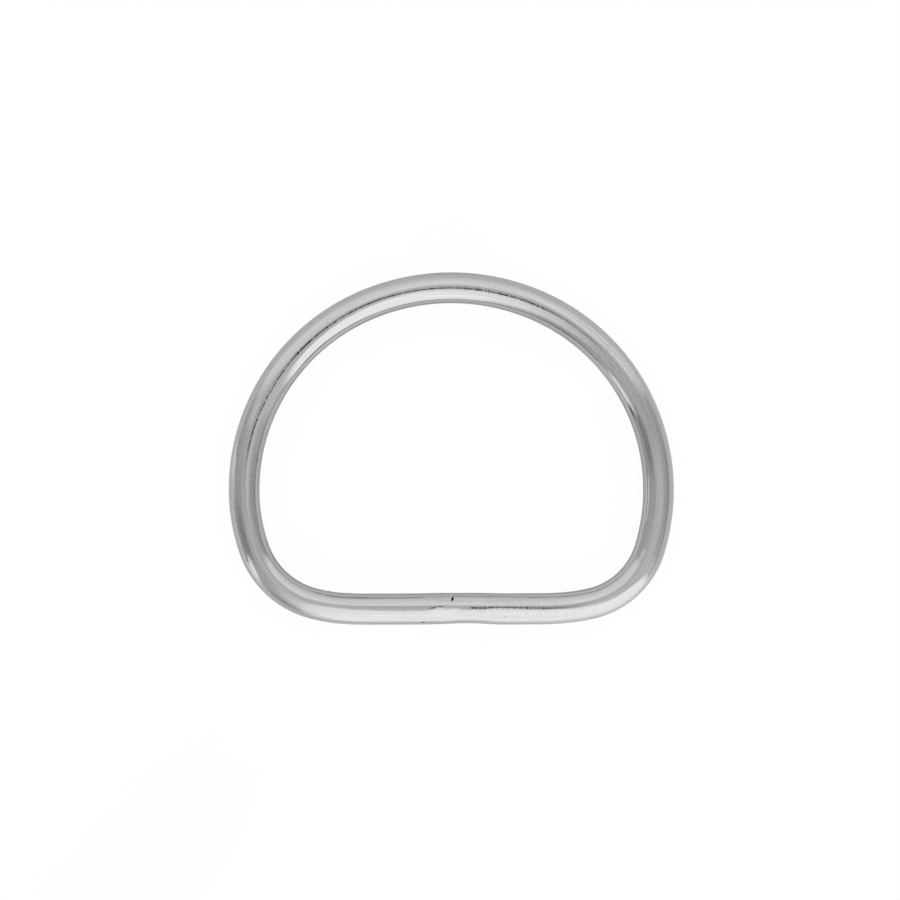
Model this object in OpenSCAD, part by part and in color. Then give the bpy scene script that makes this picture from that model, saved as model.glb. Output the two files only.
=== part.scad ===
// D ring, bent from one length of round wire and butt welded in its straight bar.
// It lies on its side on the plane z = 0. The bar runs along X and the arch rises
// along +Y. The origin is under the middle of the ring's bounding box.

/* [Opening] */
// Clear width inside the ring, which is the width of strap that it takes
inside_w = 50; // [44:0.5:60]
// Clear height inside the ring, from the bar to the crown of the arch
inside_h = 37.9; // [34:0.1:46]

/* [Wire] */
// Diameter of the round wire
wire_d = 4; // [2.5:0.1:5]

/* [Arch] */
// Height of the ring's widest points above the middle of the bar
belly_h = 15.6; // [14:0.1:19]
// Turn of the flatter bend over the crown, on each side of the middle
crown_turn = 25; // [20:1:40]

/* [Right corner] */
// Bend radius of the right corner, to the middle of the wire
right_corner_r = 10.4; // [7:0.1:12]
// Angle between the wire and the bar where the right side runs into the corner
right_corner_start = 73.3; // [65:0.1:80]
// Angle between the wire and the bar where the right corner runs into the foot
right_foot_start = 12.9; // [8:0.1:20]
// Bend radius of the shallow foot between the right corner and the bar
right_foot_r = 30; // [15:0.1:32]

/* [Left corner] */
// Bend radius of the left corner, to the middle of the wire
left_corner_r = 11.1; // [7:0.1:12]
// Angle between the wire and the bar where the left side runs into the corner
left_corner_start = 70.7; // [65:0.1:80]
// Angle between the wire and the bar where the left corner runs into the foot
left_foot_start = 14.4; // [8:0.1:20]
// Bend radius of the shallow foot between the left corner and the bar
left_foot_r = 24; // [15:0.1:32]

/* [Weld] */
// Place of the butt seam along the bar, from the middle of the ring
seam_x = 0.2; // [-4:0.1:4]
// Width of the pit that the weld left open in the seam
pit_w = 0.22; // [0.1:0.01:0.4]
// Length of the pit around the wire
pit_len = 0.5; // [0.2:0.05:1]
// Angle of the pit around the wire, from the top towards the inside of the ring
pit_angle = 36; // [0:1:90]
// Distance from the seam to the middle of the hollow where the bead is dressed off
dress_offset = 1.7; // [-3:0.1:3]
// Length of the dressed hollow along the bar
dress_len = 8; // [4:0.5:12]
// Depth of the dressed hollow in the outer edge of the bar
dress_depth = 0.16; // [0.05:0.01:0.3]

/* [Hidden] */
// Steps that a full turn is drawn in, around the wire, along a bend and along the hollow
wire_fn = 64;
bend_fn = 240;
sweep_fn = 720;
$fn = wire_fn;
// How far each half of the bar runs past the middle, where the weld makes the two one
weld_lap = 1;

wire_r = wire_d / 2;
// Width and height of the D along the middle of the wire
mid_w = inside_w + wire_d;
mid_h = inside_h + wire_d;
bar_y = -mid_h / 2;

// The crown and shoulder radii carry the wire from the top of the arch to its widest point
rise = mid_h - belly_h;
crown_s = sin(crown_turn);
crown_c = cos(crown_turn);
crown_r = (mid_w / 2 * crown_c - rise * (1 - crown_s)) / (crown_s + crown_c - 1);
shoulder_r = (rise * crown_s - mid_w / 2 * (1 - crown_c)) / (crown_s + crown_c - 1);
crown_centre = [0, mid_h / 2 - crown_r];

// Columns of a bend: its radius to the middle of the wire, and the angles between
// the wire and the bar at its start and at its end
RADIUS = 0;
FROM = 1;
TO = 2;

crown_bend = [crown_r, 180 + crown_turn, 180 - crown_turn];
right_bends = bends(right_corner_r, right_corner_start, right_foot_r, right_foot_start);
left_bends = bends(left_corner_r, left_corner_start, left_foot_r, left_foot_start);

// The bends of one half below the crown: the shoulder, the side, the corner and the foot
function bends(corner_r, corner_start, foot_r, foot_start) = [
    [shoulder_r, 180 - crown_turn, 90],
    [side_r(corner_r, corner_start, foot_r, foot_start), 90, corner_start],
    [corner_r, corner_start, foot_start],
    [foot_r, foot_start, 0]
];

// The side's radius takes up the height that the corner and the foot leave below the belly
function side_r(corner_r, corner_start, foot_r, foot_start) =
    let (
        corner_h = corner_r * (cos(foot_start) - cos(corner_start)),
        foot_h = foot_r * (1 - cos(foot_start))
    )
    (belly_h - corner_h - foot_h) / cos(corner_start);

// Unit vector from a bend's centre to the wire, where the wire has this angle to the bar
function outward(angle) = [sin(angle), -cos(angle)];

// Centre of a bend that runs smoothly on from a bend of this centre and radius
function next_centre(centre, radius, bend) = centre + (radius - bend[RADIUS]) * outward(bend[FROM]);

// Centre of bend i of one half
function bend_centre(rows, i) =
    i == 0
        ? next_centre(crown_centre, crown_r, rows[0])
        : next_centre(bend_centre(rows, i - 1), rows[i - 1][RADIUS], rows[i]);

// How far the straight bar reaches from the middle of the ring on this half's side
function bar_reach(rows) = bend_centre(rows, len(rows) - 1)[0];

// Moves in steps of whole millimetres, thousandths and the rest. Each step is a short
// number, so the place keeps all its digits and the bends meet face to face.
module place(v) {
    whole = [for (x = v) round(x)];
    fine = [for (x = v - whole) round(x * 1000) / 1000];
    translate(whole)
        translate(fine)
            translate(v - whole - fine)
                children();
}

// One bend of round wire about the origin
module bend(row) {
    rotate_extrude(angle = row[FROM] - row[TO], start = row[TO] - 90, $fn = bend_fn)
        place([row[RADIUS], 0])
            circle(d = wire_d, $fn = wire_fn);
}

// The bends of one half below the crown, and its part of the bar, on the +X side
module half_ring(rows) {
    for (i = [0 : len(rows) - 1])
        place(bend_centre(rows, i))
            bend(rows[i]);
    place([bar_reach(rows), bar_y])
        rotate([0, -90, 0])
            cylinder(h = bar_reach(rows) + weld_lap, d = wire_d);
}

// The long shallow hollow that dressing off the weld bead leaves in the bar's outer edge
module dressed_hollow() {
    sweep_r = (pow(dress_len / 2, 2) + pow(dress_depth, 2)) / (2 * dress_depth);
    translate([seam_x + dress_offset, bar_y - wire_r + dress_depth - sweep_r, 0])
        cylinder(h = 2 * wire_d, r = sweep_r, center = true, $fn = sweep_fn);
}

// The short pit that the weld left open in the seam
module seam_pit() {
    translate([seam_x, bar_y, 0])
        rotate([-pit_angle, 0, 0])
            translate([0, 0, wire_r])
                rotate([0, 90, 0])
                    cylinder(h = pit_w, d = pit_len, center = true);
}

module ring() {
    color("silver")
        translate([0, 0, wire_r])
            difference() {
                union() {
                    place(crown_centre)
                        bend(crown_bend);
                    half_ring(right_bends);
                    mirror([1, 0, 0])
                        half_ring(left_bends);
                }
                dressed_hollow();
                seam_pit();
            }
}

ring();
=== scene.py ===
import math

import bpy
import numpy as np
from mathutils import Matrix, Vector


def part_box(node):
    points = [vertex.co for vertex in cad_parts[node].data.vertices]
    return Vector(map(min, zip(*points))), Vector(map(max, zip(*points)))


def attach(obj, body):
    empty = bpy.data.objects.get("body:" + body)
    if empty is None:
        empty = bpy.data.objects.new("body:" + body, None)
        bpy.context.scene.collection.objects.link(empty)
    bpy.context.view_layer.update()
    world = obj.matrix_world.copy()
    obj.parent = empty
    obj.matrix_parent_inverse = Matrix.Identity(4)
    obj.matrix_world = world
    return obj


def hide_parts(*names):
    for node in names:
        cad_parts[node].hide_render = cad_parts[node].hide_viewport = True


# D ring of round nickel plated wire, butt welded in its bar, lying on a pale floor.
# The wire is one swept mesh that stands for the CAD node "ring" and follows the same bends.

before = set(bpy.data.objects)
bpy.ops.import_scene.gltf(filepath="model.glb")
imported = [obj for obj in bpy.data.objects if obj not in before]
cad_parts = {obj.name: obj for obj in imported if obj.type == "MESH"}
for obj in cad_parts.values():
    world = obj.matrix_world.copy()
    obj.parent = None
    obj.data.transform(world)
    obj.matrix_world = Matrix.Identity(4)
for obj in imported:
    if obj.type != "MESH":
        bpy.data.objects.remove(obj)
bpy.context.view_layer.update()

MM = 0.001

# Sizes of the ring in millimetres, as in the CAD source
ring_low, ring_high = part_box("ring")
OUTER_W = round((ring_high.x - ring_low.x) / MM, 1)
OUTER_H = round((ring_high.y - ring_low.y) / MM, 1)
WIRE_D = round((ring_high.z - ring_low.z) / MM, 1)
WIRE_R = WIRE_D / 2
MID_W = OUTER_W - WIRE_D
MID_H = OUTER_H - WIRE_D
BAR_Y = -MID_H / 2
BELLY_H = 15.6
CROWN_TURN = 25
RIGHT_CORNER = {"corner_r": 10.4, "corner_start": 73.3, "foot_r": 30.0, "foot_start": 12.9}
LEFT_CORNER = {"corner_r": 11.1, "corner_start": 70.7, "foot_r": 24.0, "foot_start": 14.4}

# Weld, in millimetres and degrees: the butt seam, and the pits and scuffs by it. Each has its
# place along the bar, its angle round the wire from the top towards the outside, its size along
# and round the wire, its depth, how dark it is painted from 0 to 1, and how far it leans along
# the wire for each millimetre round it. In the open seam and the pinhole that darkness is painted
# shade in the hollow; in the scuffs it is their own mark.
SEAM_X = 0.2
PITS = [
    {"name": "open seam", "x": 0.17, "angle": -43.5, "width": 0.26, "length": 0.80,
     "depth": 0.30, "dark": 1.0, "lean": -0.2},
    {"name": "pinhole", "x": -3.65, "angle": 65, "width": 0.40, "length": 0.52,
     "depth": 0.18, "dark": 1.0, "lean": 0.0},
    {"name": "scuff", "x": 7.05, "angle": 30, "width": 0.36, "length": 0.34,
     "depth": 0.01, "dark": 0.48, "lean": 0.0},
    {"name": "faint scuff", "x": 6.35, "angle": 38, "width": 0.44, "length": 0.30,
     "depth": 0.01, "dark": 0.42, "lean": 0.6},
]

# Parts of a pit's half size: how much of it lies at full depth, and how wide its wall is
PIT_FLAT = 0.6
PIT_WALL = 0.6

# Steps between the rings of points, in millimetres: far from the weld, by it and at the seam.
# Each reaches this far from the seam, and the weld's steps widen over the length of its fade.
COARSE_STEP = 0.34
WELD_STEP = 0.07
WELD_REACH = 7.0
WELD_FADE = 2.0
SEAM_STEP = 0.03
SEAM_REACH = 0.6

# Points in each ring, how much closer they lie at a pit's angle, and how far that reaches in
# degrees. They are placed along a full turn of this many fine steps.
RING_POINTS = 120
PIT_CLOSER = 1.6
PIT_SPREAD = 13
FINE_STEPS = 1440

# A point lies on the bar if it is less than this above the bar's middle line, in millimetres,
# and this place along the bar stands for anywhere else on the ring
BAR_BAND = 2
FAR_OFF = 99.0

# Width of the wire seen from above against its height, by the angle of the wire to the bar
WIDTH_BY_ANGLE = [
    (0, 1.018),
    (14, 1.005),
    (45, 1.000),
    (90, 1.002),
    (110, 0.992),
    (180, 1.006),
    (235, 1.015),
    (280, 0.998),
    (315, 0.992),
    (343, 1.005),
    (360, 1.018),
]

# Lean of the wire's top towards the outside, in degrees: by the angle of the wire to the bar,
# and by the place along the bar, where the weld and its dressing turned the wire a little
LEAN_BY_ANGLE = [
    (0, 1.6),
    (130, 1.6),
    (150, 0.4),
    (160, 0.4),
    (170, 1.7),
    (180, 1.8),
    (190, 0.6),
    (210, 0.6),
    (220, 1.6),
    (230, 2.0),
    (240, 3.0),
    (250, 2.4),
    (260, 0.8),
    (285, 1.6),
    (292, 3.4),
    (300, 4.8),
    (318, 4.8),
    (326, 3.8),
    (360, 1.6),
]
LEAN_BY_X = [
    (-22.0, 3.8),
    (-19.0, 2.4),
    (-15.7, 7.8),
    (-14.0, 6.4),
    (-12.5, 5.4),
    (-11.0, 4.6),
    (-10.0, 3.4),
    (-8.7, 2.4),
    (-7.0, 1.5),
    (-5.6, 1.1),
    (-4.0, 1.8),
    (-3.2, 2.8),
    (-2.5, 3.8),
    (-1.7, 12.0),
    (-0.9, 9.6),
    (0.7, 9.4),
    (1.4, 4.6),
    (3.0, 3.4),
    (4.0, 3.2),
    (4.6, 4.4),
    (5.4, 7.6),
    (6.2, 7.8),
    (7.6, 7.2),
    (9.3, 5.6),
    (12.0, 2.9),
    (14.0, 2.2),
    (15.5, 0.6),
    (18.0, 1.6),
]

# How far the lean reaches round the wire from its top, in radians, outside and inside the ring
LEAN_REACH_OUT = 0.60
LEAN_REACH_IN = 0.45

# How far the bar's middle line lies in from the straight, in millimetres, by the place along it
BOW_BY_X = [
    (-15.0, 0.0),
    (-13.5, 0.04),
    (-12.0, 0.02),
    (-7.5, 0.02),
    (-5.0, 0.04),
    (0.0, 0.05),
    (4.0, 0.06),
    (8.0, 0.045),
    (12.0, 0.07),
    (14.0, 0.055),
    (16.5, 0.0),
]

# How much fuller the bar's inner flank is by the weld, in millimetres, by the place along it
FLANK_BY_X = [
    (-5.5, 0.0),
    (-4.0, 0.008),
    (-1.7, 0.022),
    (-0.6, 0.040),
    (0.6, 0.040),
    (1.4, 0.028),
    (3.0, 0.018),
    (4.6, 0.022),
    (5.4, 0.032),
    (7.5, 0.030),
    (9.0, 0.022),
    (11.0, 0.012),
    (13.5, 0.010),
    (15.0, 0.0),
]

# Angles round the wire where that flank is fullest and where it is flattest, and how far each
# reaches, in degrees
FULLEST = -64
FULLEST_SPREAD = 17
FLATTEST = -36
FLATTEST_SPREAD = 11

# Weld bead: left standing by this much inside the ring, and dressed off this deep outside. Each
# lies between two places along the bar and eases to nothing over the ramps inside them.
BEAD_HEIGHT = 0.05
BEAD_PLACE = {"start": -4.5, "end": 7.0, "ramp_in": 3.5, "ramp_out": 4.0}
DRESS_DEPTH = 0.16
DRESS_PLACE = {"start": -1.6, "end": 6.4, "ramp_in": 3.0, "ramp_out": 4.5}

# How clearly the wire's top mirrors the dark lens above it, along the bar and round the bends.
# Where it doesn't, a narrow band along its top is worn dull.
CLEAR_BY_X = [
    (-22.0, 0.12),
    (-16.0, 0.0),
    (-3.0, 0.0),
    (-2.4, 1.0),
    (-1.3, 0.9),
    (-0.8, 0.0),
    (2.2, 0.0),
    (2.8, 1.0),
    (11.5, 1.0),
    (13.5, 0.6),
    (16.0, 0.4),
    (18.5, 0.0),
]
CLEAR_BY_ANGLE = [
    (92, 0.0),
    (105, 0.25),
    (130, 0.3),
    (140, 0.5),
    (151, 0.55),
    (160, 0.8),
    (166, 0.95),
    (180, 1.0),
    (250, 0.9),
    (262, 0.4),
    (285, 0.2),
    (300, 0.12),
    (360, 0.12),
]

# How strongly the lines from the drawing die show, by the angle of the wire to the bar
DRAWN_BY_ANGLE = [
    (95, 1.0),
    (110, 2.4),
    (140, 2.4),
    (154, 1.0),
    (235, 1.0),
    (258, 1.7),
    (300, 1.7),
    (320, 1.0),
]

# How high the waves along the dark line are, by the angle of the wire to the bar
WAVED_BY_ANGLE = [
    (170, 1.0),
    (184, 0.65),
    (210, 0.65),
    (222, 1.0),
]

# Half widths, in millimetres, of the waved and of the worn band along the dark line
WAVE_BAND = 0.24
WORN_BAND = 0.26


def smooth(t):
    """Goes gently from 0 to 1 as t goes from 0 to 1."""
    t = np.clip(t, 0.0, 1.0)
    return t * t * (3 - 2 * t)


def window(x, start, end, ramp_in, ramp_out):
    """1 between start and end, easing to 0 over the ramps that lie inside them."""
    return smooth((x - start) / ramp_in) * smooth((end - x) / ramp_out)


def bell(x, middle, spread):
    """1 at the middle, falling off evenly to both sides."""
    return np.exp(-(((x - middle) / spread) ** 2))


def by_table(at, table):
    """Goes straight from one row of a table to the next."""
    rows = np.array(table, float)
    return np.interp(at, rows[:, 0], rows[:, 1])


# Middle line of the wire

def outward(angle):
    """Unit vector from a bend's centre to the wire, where the wire has this angle to the bar."""
    turn = math.radians(angle)
    return np.array([math.sin(turn), -math.cos(turn)])


def crown_and_shoulder():
    """Radii of the two bends that carry the wire from the top of the arch to its widest point."""
    rise = MID_H - BELLY_H
    s = math.sin(math.radians(CROWN_TURN))
    c = math.cos(math.radians(CROWN_TURN))
    crown_r = (MID_W / 2 * c - rise * (1 - s)) / (s + c - 1)
    shoulder_r = (rise * s - MID_W / 2 * (1 - c)) / (s + c - 1)
    return crown_r, shoulder_r


def half_bends(corner):
    """Bends of the right half from the crown down: radius, centre, and the angles at its ends."""
    crown_r, shoulder_r = crown_and_shoulder()
    foot_cos = math.cos(math.radians(corner["foot_start"]))
    corner_cos = math.cos(math.radians(corner["corner_start"]))
    corner_h = corner["corner_r"] * (foot_cos - corner_cos)
    foot_h = corner["foot_r"] * (1 - foot_cos)
    side_r = (BELLY_H - corner_h - foot_h) / corner_cos
    rows = [
        (crown_r, 180, 180 - CROWN_TURN),
        (shoulder_r, 180 - CROWN_TURN, 90),
        (side_r, 90, corner["corner_start"]),
        (corner["corner_r"], corner["corner_start"], corner["foot_start"]),
        (corner["foot_r"], corner["foot_start"], 0),
    ]
    centre = np.array([0.0, MID_H / 2 - crown_r])
    bends = []
    last_r = crown_r
    for radius, angle_from, angle_to in rows:
        centre = centre + (last_r - radius) * outward(angle_from)
        bends.append((radius, centre, angle_from, angle_to))
        last_r = radius
    return bends


def bend_stations(radius, centre, angle_from, angle_to):
    """Points along one bend and the wire's angle at each, without the last one."""
    length = radius * math.radians(abs(angle_to - angle_from))
    count = max(2, math.ceil(length / COARSE_STEP))
    angles = np.linspace(angle_from, angle_to, count, endpoint=False)
    return [(centre + radius * outward(a), a) for a in angles]


def bar_stations(x_from, x_to):
    """Points along the straight bar in steps that are finest at the seam, without the last one."""
    xs = [x_from]
    while xs[-1] < x_to:
        away = abs(xs[-1] - SEAM_X)
        fine = SEAM_STEP + (WELD_STEP - SEAM_STEP) * smooth((away - SEAM_REACH) / SEAM_REACH)
        step = fine + (COARSE_STEP - WELD_STEP) * smooth((away - WELD_REACH) / WELD_FADE)
        xs.append(xs[-1] + float(step))
    xs = np.array(xs)
    xs = x_from + (xs - xs[0]) * (x_to - x_from) / (xs[-1] - xs[0])
    return [(np.array([x, BAR_Y]), 0.0) for x in xs[:-1]]


def bar_reach(bends):
    """How far the straight bar reaches on one half's side, which is to its last bend's centre."""
    _, centre, _, _ = bends[-1]
    return centre[0]


def wire_line():
    """Points on the wire's middle line, from the seam and anticlockwise, and its angle at each."""
    right = half_bends(RIGHT_CORNER)
    left = half_bends(LEFT_CORNER)
    stations = bar_stations(SEAM_X, bar_reach(right))
    for radius, centre, angle_from, angle_to in reversed(right):
        stations += bend_stations(radius, centre, angle_to, angle_from)
    for radius, centre, angle_from, angle_to in left:
        mirrored = np.array([-centre[0], centre[1]])
        stations += bend_stations(radius, mirrored, 360 - angle_from, 360 - angle_to)
    stations += [(p, 360.0) for p, _ in bar_stations(-bar_reach(left), SEAM_X)]
    points = np.array([p for p, _ in stations])
    angles = np.array([a for _, a in stations])
    return points, angles


def ring_angles():
    """Angles of the points round the wire, from the top towards the outside, closer at pits."""
    fine = np.radians(np.linspace(-180, 180, FINE_STEPS + 1))
    density = np.ones_like(fine)
    for pit in PITS:
        density += PIT_CLOSER * bell(fine, math.radians(pit["angle"]), math.radians(PIT_SPREAD))
    total = np.concatenate([[0], np.cumsum((density[1:] + density[:-1]) / 2)])
    steps = np.linspace(0, total[-1], RING_POINTS, endpoint=False)
    return np.interp(steps, total, fine)


def wire_mesh():
    """The swept wire, with what its material needs stored on its points and face corners."""
    points, angles = wire_line()
    around = ring_angles()
    normals = np.array([outward(a) for a in angles])
    width = by_table(angles, WIDTH_BY_ANGLE)

    phi = around[None, :]
    on_bar = points[:, 1:] < BAR_Y + BAR_BAND
    x = np.where(on_bar, points[:, :1], FAR_OFF)
    lean_off_bar = by_table(angles, LEAN_BY_ANGLE)[:, None]
    lean = np.radians(np.where(x < FAR_OFF, by_table(x, LEAN_BY_X), lean_off_bar))
    out_shift, radius, pit = weld_shape(x, phi, lean)
    flat = width[:, None] * radius * np.sin(phi) + out_shift
    co = np.empty((len(points), len(around), 3))
    co[..., 0] = points[:, :1] + normals[:, :1] * flat
    co[..., 1] = points[:, 1:] + normals[:, 1:] * flat
    co[..., 2] = WIRE_R + radius * np.cos(phi)

    rings, sides = co.shape[:2]
    mesh = bpy.data.meshes.new("wire_ring")
    mesh.from_pydata((co * MM).reshape(-1, 3).tolist(), [], sweep_faces(rings, sides))
    mesh.update()

    put_wire_coordinates(mesh, points, around)
    clear = clearness(x[:, 0], angles)[:, None]
    off_line = WIRE_R * (phi + lean)
    waved = by_table(angles, WAVED_BY_ANGLE)[:, None]
    put_points(mesh, "waved", waved * clear * bell(off_line, 0, WAVE_BAND))
    put_points(mesh, "worn", (1 - clear) * bell(off_line, 0, WORN_BAND))
    drawn = by_table(angles, DRAWN_BY_ANGLE)[:, None]
    put_points(mesh, "drawn", np.broadcast_to(drawn, (rings, sides)))
    put_points(mesh, "pit", pit)
    mesh.shade_smooth()
    return mesh


def sweep_faces(rings, sides):
    """Four-sided faces between each ring of points and the next, the last ring and the first."""
    i = np.arange(rings)[:, None]
    j = np.arange(sides)[None, :]
    i2 = (i + 1) % rings
    j2 = (j + 1) % sides
    corners = np.broadcast_arrays(i * sides + j, i2 * sides + j, i2 * sides + j2, i * sides + j2)
    return np.stack(corners, axis=-1).reshape(-1, 4).tolist()


def put_wire_coordinates(mesh, points, around):
    """Stores the wire's own coordinates on the face corners: along it and across it, in mm."""
    steps = np.linalg.norm(np.roll(points, -1, axis=0) - points, axis=1)
    arc = np.concatenate([[0], np.cumsum(steps)])
    arc, arc_next = arc[:-1], arc[1:]
    angle_next = np.append(around[1:], around[0] + 2 * math.pi)
    corners = [(arc, around), (arc_next, around), (arc_next, angle_next), (arc, angle_next)]
    own = np.empty((len(points), len(around), len(corners), 3))
    for k, (along, angle) in enumerate(corners):
        own[:, :, k, 0] = along[:, None]
        own[:, :, k, 1] = WIRE_R * np.cos(angle)[None, :]
        own[:, :, k, 2] = WIRE_R * np.sin(angle)[None, :]
    stored = mesh.attributes.new("wire_mm", "FLOAT_VECTOR", "CORNER")
    stored.data.foreach_set("vector", own.astype(np.float32).ravel())


def put_points(mesh, name, values):
    """Stores one number for each point of the mesh."""
    stored = mesh.attributes.new(name, "FLOAT", "POINT")
    stored.data.foreach_set("value", np.ascontiguousarray(values, np.float32).ravel())


def clearness(x, angles):
    """How clearly the wire's top mirrors the lens, from its tables for the bar and the bends."""
    on_bar = by_table(x, CLEAR_BY_X)
    on_bends = by_table(angles, CLEAR_BY_ANGLE)
    return np.where(x < FAR_OFF, on_bar, on_bends)


def weld_shape(x, phi, lean):
    """How far the wire's middle shifts outward, its radius, and how dark a pit is painted, by
    place.
    """
    shift = -by_table(x, BOW_BY_X) * np.ones_like(phi)
    near_weld = BEAD_HEIGHT * window(x, **BEAD_PLACE)
    bead = near_weld * smooth(-np.sin(phi))
    dressed = (DRESS_DEPTH - BEAD_HEIGHT) * window(x, **DRESS_PLACE)
    hollow = (dressed + near_weld) * smooth(np.sin(phi))
    reach = np.where(phi > 0, LEAN_REACH_OUT, LEAN_REACH_IN)
    across = np.sin(phi) * bell(phi, 0, reach)
    fuller = bell(np.degrees(phi), FULLEST, FULLEST_SPREAD)
    flatter = bell(np.degrees(phi), FLATTEST, FLATTEST_SPREAD)
    flank = by_table(x, FLANK_BY_X) * (fuller - flatter)
    radius = WIRE_R * (1 - lean * across) + bead - hollow + flank
    in_pit = np.zeros_like(radius)
    for pit in PITS:
        round_wire = WIRE_R * (phi - math.radians(pit["angle"]))
        along = x - pit["x"] - pit["lean"] * round_wire
        away = np.hypot(along / (pit["width"] / 2), round_wire / (pit["length"] / 2))
        share = 1 - smooth((away - PIT_FLAT) / PIT_WALL)
        radius = radius - pit["depth"] * share
        in_pit = np.maximum(in_pit, share * pit["dark"])
    return shift, radius, in_pit


# Nodes

class Nodes:
    """Adds nodes to one tree. A value may be a number, or a socket of another node."""

    def __init__(self, tree):
        self.tree = tree
        tree.nodes.clear()

    def add(self, kind, inputs=None, **settings):
        node = self.tree.nodes.new(kind)
        for name, value in settings.items():
            setattr(node, name, value)
        for name, value in (inputs or {}).items():
            self.feed(node.inputs[name], value)
        return node

    def feed(self, socket, value):
        if isinstance(value, bpy.types.NodeSocket):
            self.tree.links.new(value, socket)
        else:
            socket.default_value = value

    def math(self, operation, *values):
        node = self.add("ShaderNodeMath", operation=operation)
        for i, value in enumerate(values):
            self.feed(node.inputs[i], value)
        return node.outputs[0]

    def blend(self, part, first, second):
        """The first shader, with this part of the second in its place."""
        inputs = {0: part, 1: first.outputs[0], 2: second.outputs[0]}
        return self.add("ShaderNodeMixShader", inputs)

    def grey(self, shade):
        node = self.add("ShaderNodeCombineColor", {"Red": shade, "Green": shade, "Blue": shade})
        return node.outputs["Color"]

    def turn_from(self, azimuth, start):
        """Degrees from the azimuth start to this one, the short way round."""
        return self.math("WRAP", self.math("SUBTRACT", azimuth, start), 180.0, -180.0)

    def ramp(self, value, start, end, low=0.0, high=1.0):
        """Goes gently from low to high as value goes from start to end."""
        inputs = {
            "Value": value,
            "From Min": start,
            "From Max": end,
            "To Min": low,
            "To Max": high,
        }
        return self.add("ShaderNodeMapRange", inputs, interpolation_type="SMOOTHSTEP").outputs[0]


# Studio

# Share of the light that the nickel mirrors
REFLECTANCE = 0.50


def light(shade):
    """Light that has this shade, from 0 to 255 on the sRGB scale, when the wire mirrors it."""
    part = shade / 255
    linear = part / 12.92 if part <= 0.04045 else ((part + 0.055) / 1.055) ** 2.4
    return linear / REFLECTANCE


def card(name, **shape):
    """One card of the studio, plainly round and level where its shape doesn't say otherwise."""
    return {"name": name, "power": 2, "slope": 0, "fall": 2, **shape}


# Soft cards and dark flags round the ring, each over those before it, in degrees. The azimuth from
# +X towards +Y and the tilt from the zenith down give a card's middle, half is its half width and
# height its half height. Power and fall say how square it is sideways and up and down, and soft
# says how gently it ends. A card with a slope hangs lower by this many degrees for each degree of
# azimuth from its middle.
CARDS = [
    card("top glow", azimuth=-14, half=40, tilt=0, height=32, fall=1.6, soft=0.7, shade=178),
    card("left flag", azimuth=-172, half=24, tilt=58, height=40, soft=1.0, shade=147),
    card("left flag's middle", azimuth=-164, half=11, tilt=50, height=20, soft=1.0, shade=122),
    card("right flag", azimuth=6, half=20, power=3, tilt=95, height=42, fall=1.6, soft=0.9,
         shade=139),
    card("right glow", azimuth=-31, half=9, tilt=50, height=34, soft=0.9, shade=177),
    card("back card", azimuth=90.3, half=62.2, power=6, tilt=57, slope=-0.09, height=36, fall=3,
         soft=0.5, shade=198),
    card("back card's top", azimuth=80, half=38, power=4, tilt=35, height=11, soft=0.9, shade=207),
    card("back card's tip", azimuth=157.5, half=5, tilt=39, height=14, soft=0.9, shade=183),
    card("back card's foot", azimuth=92, half=62, power=8, tilt=98, height=26, soft=1.0, shade=177),
    card("front card's soft end", azimuth=-108, half=22, tilt=34, height=28, fall=1.6, soft=1.0,
         shade=195),
    card("low flag", azimuth=-126, half=10, tilt=92, height=18, soft=0.9, shade=130),
    card("front card's glow", azimuth=-86, half=25, tilt=50, height=41, fall=4, soft=0.8,
         shade=219),
    card("front card", azimuth=-67.5, half=32.5, power=2.4, tilt=70, height=46, fall=2.6, soft=0.3,
         shade=228),
    card("side strip", azimuth=-148, half=8.4, tilt=77, slope=1.6, height=18, soft=0.8, shade=214),
    card("side strip's dark tip", azimuth=-155, half=2.2, tilt=84, slope=2, height=8, soft=0.7,
         shade=70),
    card("low light", azimuth=178, half=7, power=4, tilt=92, height=16, fall=4, soft=0.6,
         shade=192),
]

# Behind the cards the studio has one shade down to the first tilt, and turns to the other shade
# until the second tilt
ZENITH_SHADE = 164
ZENITH_TILT = 8
HORIZON_SHADE = 152
HORIZON_TILT = 85

# The dark lens at the zenith: its half size and its soft edge in degrees, and its shade
LENS_HALF = 5.5
LENS_SOFT = 1.5
LENS_SHADE = 12

# Colour of the burnt out paper
FLOOR_SEEN = (1.0, 0.9823, 0.9911, 1.0)


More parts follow.
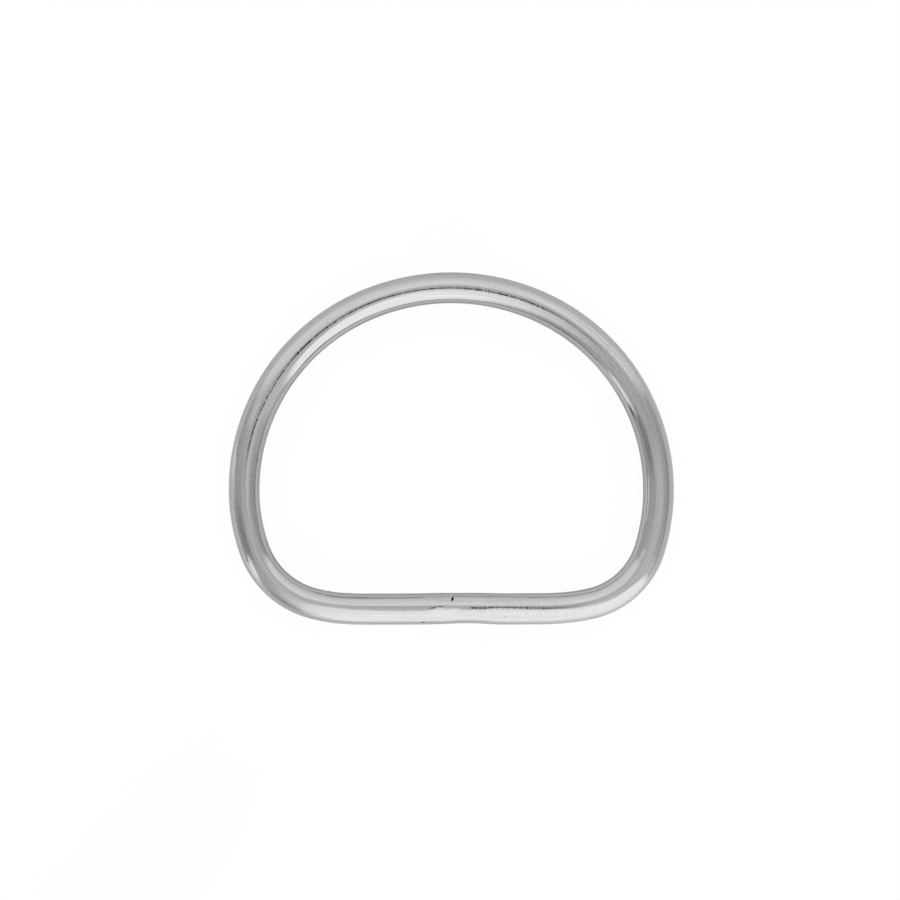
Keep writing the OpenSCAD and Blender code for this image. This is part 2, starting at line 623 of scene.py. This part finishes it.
def build_world():
    """The studio that the wire mirrors, by direction. The camera itself sees white paper there."""
    world = bpy.data.worlds.new("studio")
    bpy.context.scene.world = world
    world.use_nodes = True
    n = Nodes(world.node_tree)
    coords = n.add("ShaderNodeTexCoord").outputs["Generated"]
    xyz = n.add("ShaderNodeSeparateXYZ", {"Vector": coords}).outputs
    azimuth = n.math("DEGREES", n.math("ARCTAN2", xyz["Y"], xyz["X"]))
    up = n.math("MAXIMUM", n.math("MINIMUM", xyz["Z"], 1.0), -1.0)
    tilt = n.math("DEGREES", n.math("ARCCOSINE", up))
    zenith = light(ZENITH_SHADE)
    horizon = light(HORIZON_SHADE)
    level = n.ramp(tilt, ZENITH_TILT, HORIZON_TILT, zenith, horizon)
    for row in CARDS:
        aside = n.turn_from(azimuth, row["azimuth"])
        across = n.math("DIVIDE", n.math("ABSOLUTE", aside), row["half"])
        middle = n.math("MULTIPLY_ADD", aside, row["slope"], row["tilt"])
        below = n.math("SUBTRACT", tilt, middle)
        down = n.math("DIVIDE", n.math("ABSOLUTE", below), row["height"])
        across = n.math("POWER", across, row["power"])
        down = n.math("POWER", down, row["fall"])
        reach = n.math("ADD", across, down)
        mask = n.ramp(reach, 1 + row["soft"], 1 - row["soft"])
        gap = n.math("SUBTRACT", light(row["shade"]), level)
        level = n.math("MULTIPLY_ADD", gap, mask, level)
    lens = n.ramp(tilt, LENS_HALF + LENS_SOFT, LENS_HALF - LENS_SOFT)
    gap = n.math("SUBTRACT", light(LENS_SHADE), level)
    level = n.math("MULTIPLY_ADD", gap, lens, level)
    studio = n.add("ShaderNodeBackground", {"Strength": level})
    studio.inputs["Color"].default_value = (1, 1, 1, 1)
    seen = n.add("ShaderNodeBackground", {"Color": FLOOR_SEEN})
    path = n.add("ShaderNodeLightPath").outputs["Is Camera Ray"]
    mixed = n.blend(path, studio, seen)
    n.add("ShaderNodeOutputWorld", {"Surface": mixed.outputs[0]})


# Floor: half its side in metres, how white the paper is, how much of its own shading is left for
# the camera, and the light of the burnt out white
FLOOR_HALF = 8.0
FLOOR_WHITE = 0.86
FLOOR_KEEP = 0.06
FLOOR_BURN = 1.03

# Painted glow on the floor, its own emission where the front card's light falls on it: its
# strength, the way it lies, and where it starts and where it is full in metres along that way
PAINTED_GLOW_STRENGTH = 0.62
PAINTED_GLOW_WAY = (0.35, -0.94, 0.0)
PAINTED_GLOW_START = 0.021
PAINTED_GLOW_FULL = 0.048

# Sectors of the floor with painted glow, which the wire mirrors brighter, and one with a painted
# shadow, which it mirrors duller, with how much. The first holds the painted glow above.
# Azimuths are in degrees, and each sector starts and is full at these distances from the ring's
# middle in metres.
PAINTED_FRONT_GLOW = {"azimuth": -73, "half": 39.5, "soft": 8, "start": 0.0, "full": 0.001}
PAINTED_SIDE_GLOW = {"azimuth": -147, "half": 6, "soft": 4, "start": 0.034, "full": 0.050}
PAINTED_SIDE_STRENGTH = 0.32
PAINTED_LEFT_GLOW = {"azimuth": 178.5, "half": 4, "soft": 2, "start": 0.034, "full": 0.042}
PAINTED_LEFT_STRENGTH = 0.24
PAINTED_LOW_SHADOW = {"azimuth": -126, "half": 8, "soft": 5, "start": 0.036, "full": 0.060}
PAINTED_LOW_SHADOW_PART = 0.24

# The floor inside the arch has painted shadow, darker paper near the wire: how much, the circle
# that stands for the arch, and how far in from the wire's middle it starts and is full, in
# metres. It ends again under the wire, between the last two distances, which are measured in the
# same way.
PAINTED_SHADE_PART = 0.20
ARCH_MIDDLE = (0.0, -0.0070, 0.0)
ARCH_RADIUS = 0.0278
PAINTED_SHADE_FROM = 0.008
PAINTED_SHADE_TO = 0.003
UNDER_WIRE_TO = 0.001
UNDER_WIRE_END = -0.002

# Soft round patches of painted shade and painted light on the floor near the wire: where they
# are, how far from there they are full and where they end, in millimetres, and how much darker
# with painted shade, or below zero brighter with painted light, they are
PAINTED_PATCHES = [
    {"place": (12.5, -10), "full": 3, "end": 6.5, "painted_light_and_shade": -0.13},
    {"place": (-9.5, 5.5), "full": 3, "end": 7, "painted_light_and_shade": -0.14},
    {"place": (-13.5, 8.5), "full": 2, "end": 4.5, "painted_light_and_shade": -0.12},
    {"place": (17, 8), "full": 2, "end": 5, "painted_light_and_shade": -0.12},
    {"place": (-19.8, -13.9), "full": 1.5, "end": 4, "painted_light_and_shade": 0.16},
    {"place": (-10.5, -28), "full": 5, "end": 9, "painted_light_and_shade": -0.10},
    {"place": (26, -21.5), "full": 2.5, "end": 6, "painted_light_and_shade": -0.10},
    {"place": (0, 27), "full": 3.5, "end": 7.5, "painted_light_and_shade": 0.09},
]


def sector(n, azimuth, radius, shape):
    """1 inside a sector of the floor, easing to 0 at its sides and towards the ring."""
    aside = n.math("ABSOLUTE", n.turn_from(azimuth, shape["azimuth"]))
    spread = n.ramp(aside, shape["half"] + shape["soft"], shape["half"] - shape["soft"])
    return n.math("MULTIPLY", spread, n.ramp(radius, shape["start"], shape["full"]))


def build_floor():
    """Pale floor with painted glow and shade, burnt out white for the camera but for a trace of its
    shadows.
    """
    h = FLOOR_HALF
    mesh = bpy.data.meshes.new("floor")
    mesh.from_pydata([(-h, -h, 0), (h, -h, 0), (h, h, 0), (-h, h, 0)], [], [(0, 1, 2, 3)])
    floor = bpy.data.objects.new("floor", mesh)
    bpy.context.scene.collection.objects.link(floor)
    material = bpy.data.materials.new("floor")
    material.use_nodes = True
    n = Nodes(material.node_tree)
    place = n.add("ShaderNodeTexCoord").outputs["Object"]
    xyz = n.add("ShaderNodeSeparateXYZ", {"Vector": place}).outputs

    azimuth = n.math("DEGREES", n.math("ARCTAN2", xyz["Y"], xyz["X"]))
    radius = n.add("ShaderNodeVectorMath", {0: place}, operation="LENGTH").outputs["Value"]
    # Painted glow: the floor's own emission in the front, side and left sectors, hidden from the
    # camera
    forward = n.add("ShaderNodeVectorMath", {0: place, 1: PAINTED_GLOW_WAY}, operation="DOT_PRODUCT")
    glow = n.ramp(forward.outputs["Value"], PAINTED_GLOW_START, PAINTED_GLOW_FULL, 0.0, PAINTED_GLOW_STRENGTH)
    glow = n.math("MULTIPLY", glow, sector(n, azimuth, radius, PAINTED_FRONT_GLOW))
    painted_side_glow = n.math("MULTIPLY", sector(n, azimuth, radius, PAINTED_SIDE_GLOW), PAINTED_SIDE_STRENGTH)
    painted_left_glow = n.math("MULTIPLY", sector(n, azimuth, radius, PAINTED_LEFT_GLOW), PAINTED_LEFT_STRENGTH)
    glow = n.math("ADD", glow, n.math("ADD", painted_side_glow, painted_left_glow))

    # Painted shadow: darker paper inside the arch near the wire, ending under the wire
    from_middle = n.add("ShaderNodeVectorMath", {0: place, 1: ARCH_MIDDLE}, operation="DISTANCE")
    in_from_arch = n.math("SUBTRACT", ARCH_RADIUS, from_middle.outputs["Value"])
    in_from_bar = n.math("SUBTRACT", xyz["Y"], BAR_Y * MM)
    inside = n.math("MINIMUM", in_from_arch, in_from_bar)
    painted_shade_near_wire = n.ramp(inside, PAINTED_SHADE_FROM, PAINTED_SHADE_TO)
    within = n.ramp(inside, UNDER_WIRE_END, UNDER_WIRE_TO)
    painted_light_and_shade = n.math("MULTIPLY", n.math("MULTIPLY", painted_shade_near_wire, within), PAINTED_SHADE_PART)
    # Painted shadow: a sector of darker paper beyond the ring's front left
    painted_shadow = n.math("MULTIPLY", sector(n, azimuth, radius, PAINTED_LOW_SHADOW), PAINTED_LOW_SHADOW_PART)
    painted_light_and_shade = n.math("ADD", painted_light_and_shade, painted_shadow)
    # Painted shade and painted light in round patches of the paper near the wire
    for patch in PAINTED_PATCHES:
        middle = (patch["place"][0] * MM, patch["place"][1] * MM, 0.0)
        away = n.add("ShaderNodeVectorMath", {0: place, 1: middle}, operation="DISTANCE")
        away = away.outputs["Value"]
        part = n.ramp(away, patch["end"] * MM, patch["full"] * MM, 0.0, patch["painted_light_and_shade"])
        painted_light_and_shade = n.math("ADD", painted_light_and_shade, part)
    # The paper's colour carries the painted shadows and the patches' painted light and shade
    shade = n.math("MULTIPLY", n.math("SUBTRACT", 1.0, painted_light_and_shade), FLOOR_WHITE)

    paper = n.add("ShaderNodeBsdfDiffuse", {"Color": n.grey(shade)})
    # Painted glow: emission on the paper that only rays other than the camera's see
    painted_light = n.add("ShaderNodeEmission", {"Strength": glow})
    mirrored = n.add("ShaderNodeAddShader", {0: paper.outputs[0], 1: painted_light.outputs[0]})
    white = n.add("ShaderNodeEmission", {"Color": FLOOR_SEEN, "Strength": FLOOR_BURN})
    burnt = n.blend(FLOOR_KEEP, white, paper)
    path = n.add("ShaderNodeLightPath").outputs["Is Camera Ray"]
    mixed = n.blend(path, mirrored, burnt)
    n.add("ShaderNodeOutputMaterial", {"Surface": mixed.outputs[0]})
    mesh.materials.append(material)


# Finish: the waves, the lines from the drawing die and the fine grain. Each has its cells in a
# millimetre, along the wire and both ways across it, its detail and its height in millimetres.
WAVE_CELLS = (3.4, 0.9, 0.9)
WAVE_DETAIL = 2
WAVE_HEIGHT = 0.039
LINE_CELLS = (0.08, 4.4, 4.4)
LINE_DETAIL = 2
LINE_HEIGHT = 0.010
GRAIN_CELLS = (4.6, 4.6, 4.6)
GRAIN_DETAIL = 1
GRAIN_HEIGHT = 0.0008

# How much the lines and the grain change the shade
LINE_SHADE = 0.34
GRAIN_SHADE = 0.23

# Roughness of the polished wire, of its worn band and of a pit
SMOOTH_ROUGH = 0.07
WORN_ROUGH = 0.42
PIT_ROUGH = 0.6

# The shade falls to this reflectance as a pit's darkness goes from one value to the other. That
# darkness is painted shade in the open seam and the pinhole, and the scuffs' own mark.
PIT_REFLECTANCE = 0.02
PIT_DARK_FROM = 0.3
PIT_DARK_FULL = 0.9


def noise(n, place, scale, detail):
    """Soft noise about 0, with this many cells in a millimetre each way."""
    scaled = n.add("ShaderNodeVectorMath", {0: place, 1: scale}, operation="MULTIPLY")
    inputs = {"Vector": scaled.outputs[0], "Scale": 1.0, "Detail": float(detail)}
    return n.math("SUBTRACT", n.add("ShaderNodeTexNoise", inputs).outputs["Fac"], 0.5)


def nickel():
    """Polished nickel plate over drawn wire, worn in a narrow band along its top."""
    material = bpy.data.materials.new("nickel")
    material.use_nodes = True
    n = Nodes(material.node_tree)
    own = n.add("ShaderNodeAttribute", attribute_name="wire_mm").outputs["Vector"]
    waved = n.add("ShaderNodeAttribute", attribute_name="waved").outputs["Fac"]
    worn = n.add("ShaderNodeAttribute", attribute_name="worn").outputs["Fac"]
    pit = n.add("ShaderNodeAttribute", attribute_name="pit").outputs["Fac"]
    drawn = n.add("ShaderNodeAttribute", attribute_name="drawn").outputs["Fac"]
    waves = n.math("MULTIPLY", noise(n, own, WAVE_CELLS, WAVE_DETAIL), waved)
    lines = n.math("MULTIPLY", noise(n, own, LINE_CELLS, LINE_DETAIL), drawn)
    grain = n.math("MULTIPLY", noise(n, own, GRAIN_CELLS, GRAIN_DETAIL), drawn)
    height = n.math("MULTIPLY", waves, WAVE_HEIGHT)
    height = n.math("MULTIPLY_ADD", lines, LINE_HEIGHT, height)
    height = n.math("MULTIPLY_ADD", grain, GRAIN_HEIGHT, height)
    bump = n.add("ShaderNodeBump", {"Height": height, "Distance": MM, "Strength": 1.0})
    rough = n.ramp(worn, 0.0, 1.0, SMOOTH_ROUGH, WORN_ROUGH)
    rough = n.math("MAXIMUM", rough, n.math("MULTIPLY", pit, PIT_ROUGH))
    # Painted shade in the open seam and the pinhole, and the scuffs' own marks, darken the
    # reflectance
    tone = n.ramp(pit, PIT_DARK_FROM, PIT_DARK_FULL, REFLECTANCE, PIT_REFLECTANCE)
    streaks = n.math("MULTIPLY_ADD", lines, LINE_SHADE, 1.0)
    tone = n.math("MULTIPLY", tone, n.math("MULTIPLY_ADD", grain, GRAIN_SHADE, streaks))
    metal = n.add(
        "ShaderNodeBsdfPrincipled",
        {
            "Base Color": n.grey(tone),
            "Metallic": 1.0,
            "Roughness": rough,
            "Normal": bump.outputs["Normal"],
        },
    )
    n.add("ShaderNodeOutputMaterial", {"Surface": metal.outputs[0]})
    return material


def build_ring():
    """The wire in its finish, in place of the node that the CAD source makes."""
    mesh = wire_mesh()
    mesh.materials.append(nickel())
    ring = bpy.data.objects.new("wire_ring", mesh)
    bpy.context.scene.collection.objects.link(ring)
    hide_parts("ring")
    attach(ring, "root")


# Camera: straight above the ring, but for the photograph's small offset. Its height over the
# wire's middle, the frame's width there and the range that it sees are in metres, and the width
# of its sensor is in millimetres.
CAMERA_UP = 1.0
CAMERA_X = -0.168 * MM
CAMERA_Y = -0.19 * MM
FRAME_WIDTH = 0.11728
CLIP_START = 0.05
CLIP_END = 50.0
SENSOR = 36.0


def build_camera():
    """The camera, left unturned so that it looks straight down."""
    data = bpy.data.cameras.new("camera")
    data.sensor_width = SENSOR
    data.lens = SENSOR * CAMERA_UP / FRAME_WIDTH
    data.clip_start = CLIP_START
    data.clip_end = CLIP_END
    camera = bpy.data.objects.new("camera", data)
    camera.location = (CAMERA_X, CAMERA_Y, CAMERA_UP + WIRE_R * MM)
    bpy.context.scene.collection.objects.link(camera)
    bpy.context.scene.camera = camera


build_world()
build_floor()
build_ring()
build_camera()
bpy.context.scene.view_settings.view_transform = "Standard"
